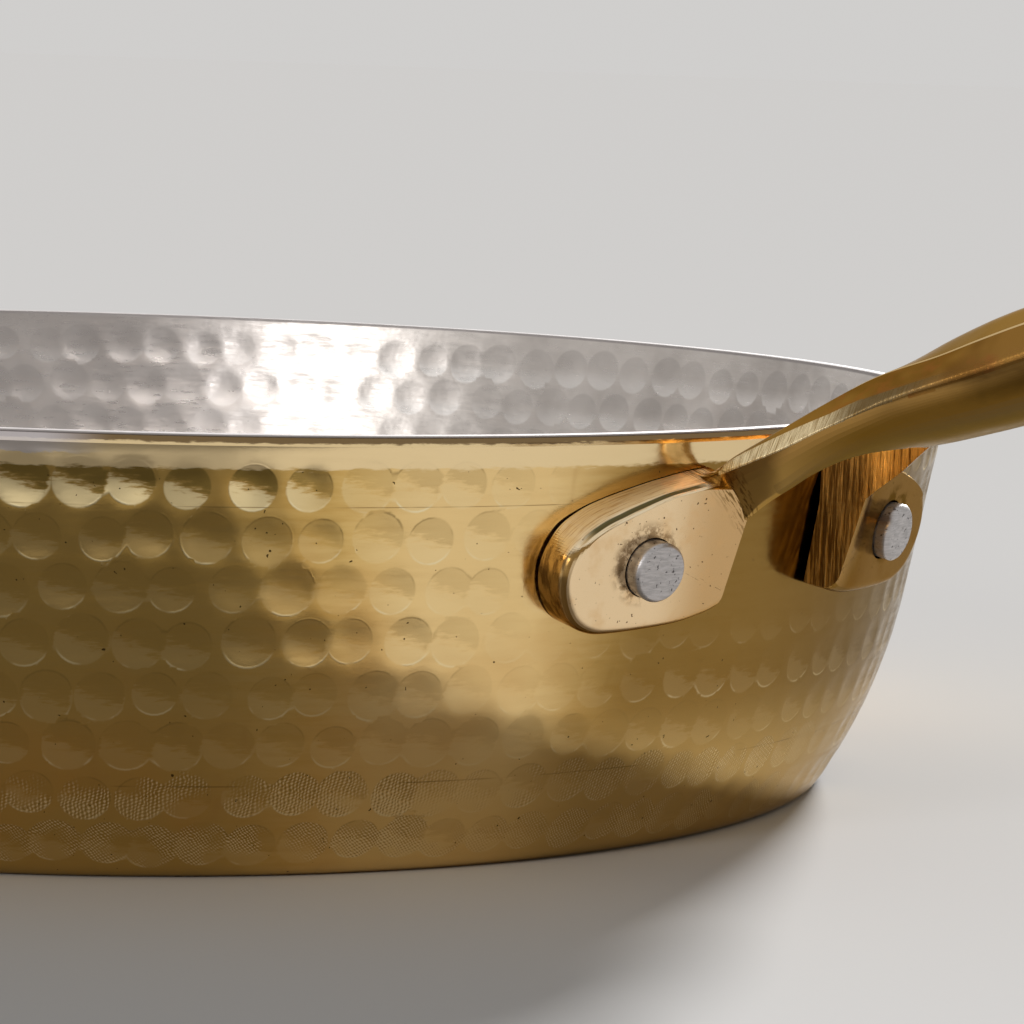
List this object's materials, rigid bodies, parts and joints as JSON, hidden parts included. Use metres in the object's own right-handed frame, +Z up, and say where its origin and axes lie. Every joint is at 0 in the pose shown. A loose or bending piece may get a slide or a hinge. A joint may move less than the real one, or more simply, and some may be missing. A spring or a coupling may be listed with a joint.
{
  "type": "brass skillet",
  "caption": "Flared hammered brass skillet, tin lined, with a riveted forked cast brass handle that ends in a hanging eye.",
  "frame": {"origin": "centre of the pan's flat base, on the surface that it stands on", "axes": "+Z up out of the pan, +X along the handle away from the pan, +Y to the left of the handle seen from the pan"},
  "size_m": [0.4638, 0.2626, 0.1014],
  "materials": {
    "hammered_brass": "polished and hammered, slightly tarnished",
    "wiped_tin": "wiped tin, satin",
    "cast_brass": "cast, ground and polished",
    "rivet_aluminium": "plain, slightly pitted"
  },
  "bodies": {
    "root": {"pan_body": "hammered_brass", "tin_lining": "wiped_tin", "handle": "cast_brass", "rivet_left": "rivet_aluminium", "rivet_right": "rivet_aluminium"}
  },
  "joints": []
}
